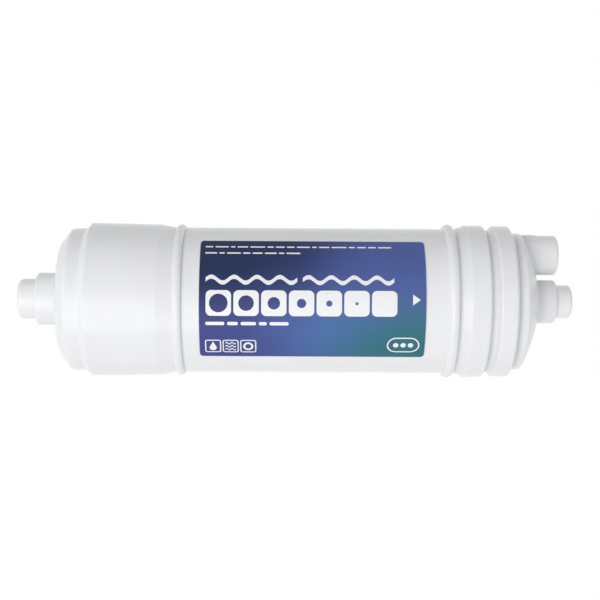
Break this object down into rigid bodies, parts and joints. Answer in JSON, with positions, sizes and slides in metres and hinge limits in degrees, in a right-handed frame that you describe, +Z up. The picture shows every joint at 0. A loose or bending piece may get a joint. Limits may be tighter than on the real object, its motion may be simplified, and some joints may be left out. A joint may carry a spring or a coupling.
{
  "type": "ro membrane element",
  "caption": "Inline reverse-osmosis membrane element: a white welded cylindrical housing with a wound membrane inside and push-in tube ports at both ends.",
  "frame": {"origin": "on the element's axis, halfway along the bare tube that a clip holds", "axes": "+X along the axis with the flow, from the inlet to the outlets; +Z up, towards the concentrate port; the label faces -Y"},
  "size_m": [0.2495, 0.0694, 0.0694],
  "materials": {
    "housing_plastic": "white moulded polypropylene, half gloss",
    "fitting_plastic": "white moulded acetal, half gloss",
    "collet_plastic": "off-white acetal",
    "label_film": "printed film in dark blue, violet and teal",
    "seal_rubber": "black moulded rubber",
    "core_plastic": "off-white moulded plastic",
    "membrane": "off-white wound sheet and spacer net",
    "wrap_film": "pale wrapping tape"
  },
  "bodies": {
    "housing": {"body_tube": "housing_plastic", "inlet_end_cap": "housing_plastic", "outlet_end_cap": "housing_plastic", "label": "label_film", "inlet_nozzle": "fitting_plastic", "concentrate_nozzle": "fitting_plastic", "permeate_nozzle": "fitting_plastic", "tube_seals": "seal_rubber", "permeate_tube": "core_plastic", "core_plug": "core_plastic", "core_seals": "seal_rubber", "membrane_roll": "membrane", "roll_wrap": "wrap_film", "feed_end_ring": "core_plastic", "outlet_end_ring": "core_plastic", "brine_seal": "seal_rubber"},
    "inlet_collet": {"inlet_collet": "collet_plastic"},
    "concentrate_collet": {"concentrate_collet": "collet_plastic"},
    "permeate_collet": {"permeate_collet": "collet_plastic"}
  },
  "joints": [
    {"name": "inlet_collet_press", "type": "slide", "parent": "housing", "child": "inlet_collet", "axis": [1, 0, 0], "range_m": [0, 0.0012]},
    {"name": "concentrate_collet_press", "type": "slide", "parent": "housing", "child": "concentrate_collet", "axis": [-1, 0, 0], "range_m": [0, 0.0012]},
    {"name": "permeate_collet_press", "type": "slide", "parent": "housing", "child": "permeate_collet", "axis": [-1, 0, 0], "range_m": [0, 0.0012]}
  ]
}
